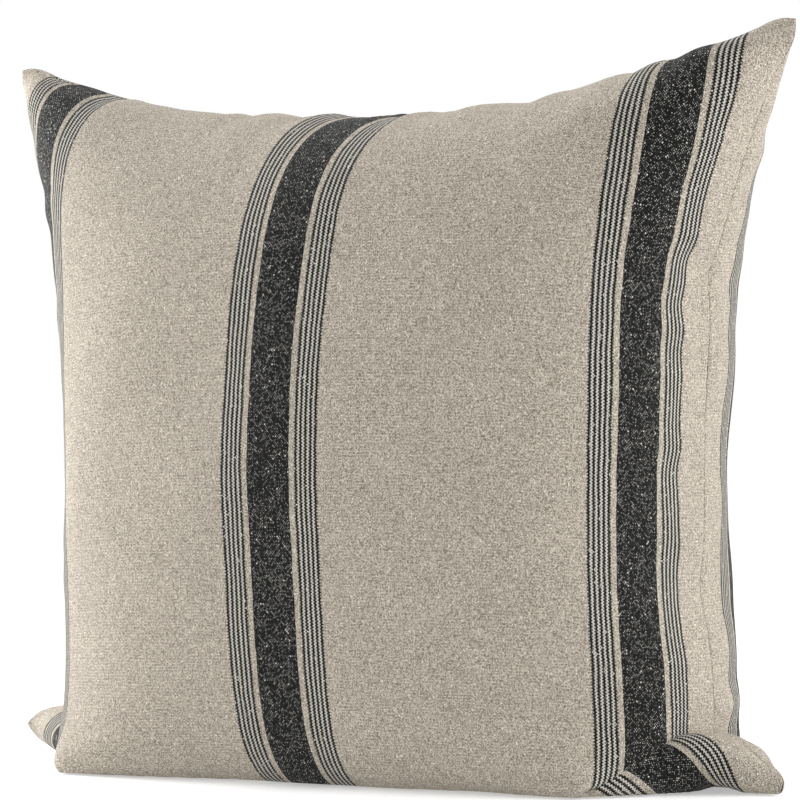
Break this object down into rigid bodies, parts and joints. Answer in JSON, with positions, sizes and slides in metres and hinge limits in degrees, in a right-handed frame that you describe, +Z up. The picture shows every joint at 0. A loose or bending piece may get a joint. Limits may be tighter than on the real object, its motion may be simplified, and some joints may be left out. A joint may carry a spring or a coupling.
{
  "type": "throw pillow",
  "caption": "Plump square throw pillow standing on its bottom edge: striped flax cover with knife edges, a zipper in the bottom seam and a loose sewn insert.",
  "frame": {"origin": "on the floor under the middle of the standing pillow, at the bottom centre of its bounding box", "axes": "+Z up, +X along the width, +Y towards the back panel, so the front panel faces -Y"},
  "size_m": [0.548, 0.268, 0.44],
  "materials": {
    "flax_stripe": "matte slubby plain weave with woven charcoal stripes",
    "polyester_thread": "matte twisted thread",
    "zipper_tape": "matte herringbone tape",
    "nylon_coil": "satin nylon",
    "zinc_alloy": "satin plated zinc alloy",
    "white_cotton": "matte downproof cotton",
    "down_fill": "soft loose fill"
  },
  "bodies": {
    "pillow": {"cover_front": "flax_stripe", "cover_back": "flax_stripe", "cover_seam_thread_left": "polyester_thread", "cover_seam_thread_right": "polyester_thread", "cover_seam_thread_top": "polyester_thread", "cover_seam_thread_bottom_left": "polyester_thread", "cover_seam_thread_bottom_right": "polyester_thread", "zipper_tape_front": "zipper_tape", "zipper_tape_back": "zipper_tape", "zipper_coil_front": "nylon_coil", "zipper_coil_back": "nylon_coil", "zipper_top_stop": "zinc_alloy", "zipper_bottom_stop": "zinc_alloy", "insert_casing_front": "white_cotton", "insert_casing_back": "white_cotton", "insert_seam_thread": "polyester_thread", "fill": "down_fill"},
    "slider": {"zipper_slider": "zinc_alloy"},
    "pull_tab": {"zipper_pull_tab": "zinc_alloy"}
  },
  "joints": [
    {"name": "zipper_slide", "type": "slide", "parent": "pillow", "child": "slider", "axis": [1, 0, 0], "range_m": [-0.36, 0]},
    {"name": "pull_tab_pivot", "type": "hinge", "parent": "slider", "child": "pull_tab", "pos_m": [0.18, 0, 0.005], "axis": [0, -1, 0], "range_deg": [0, 165]}
  ]
}
